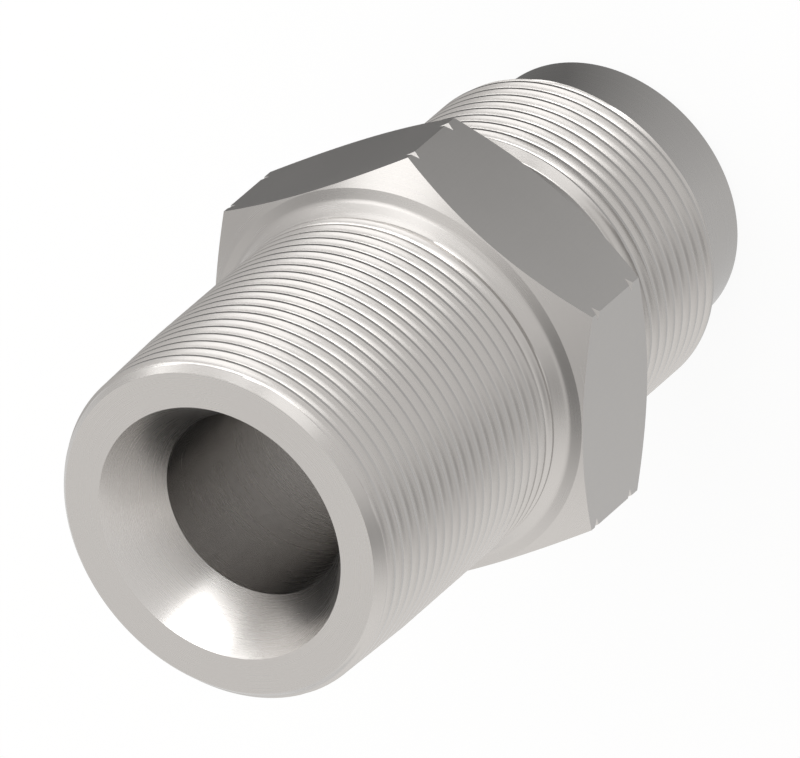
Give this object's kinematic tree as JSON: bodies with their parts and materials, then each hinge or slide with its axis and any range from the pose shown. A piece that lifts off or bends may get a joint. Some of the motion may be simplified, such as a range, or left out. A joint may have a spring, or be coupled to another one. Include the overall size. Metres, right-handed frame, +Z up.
{
  "type": "straight adapter fitting",
  "caption": "Straight hydraulic adapter: a hexagon body joins a tapered pipe thread end with an inner cone seat to a straight threaded end with a smooth pilot, on a through bore.",
  "frame": {"origin": "centre of the end ring of the pilot, which the part stands on", "axes": "+Z up the flow axis, towards the tapered pipe end; two flats of the hexagon face +Y and -Y, and two of its corners lie on X"},
  "size_m": [0.0624, 0.054, 0.0996],
  "materials": {
    "steel": "bare turned steel, satin, with fine lathe lines round the axis and finely drawn hexagon flats"
  },
  "bodies": {
    "root": {"adapter_body": "steel"}
  },
  "joints": []
}
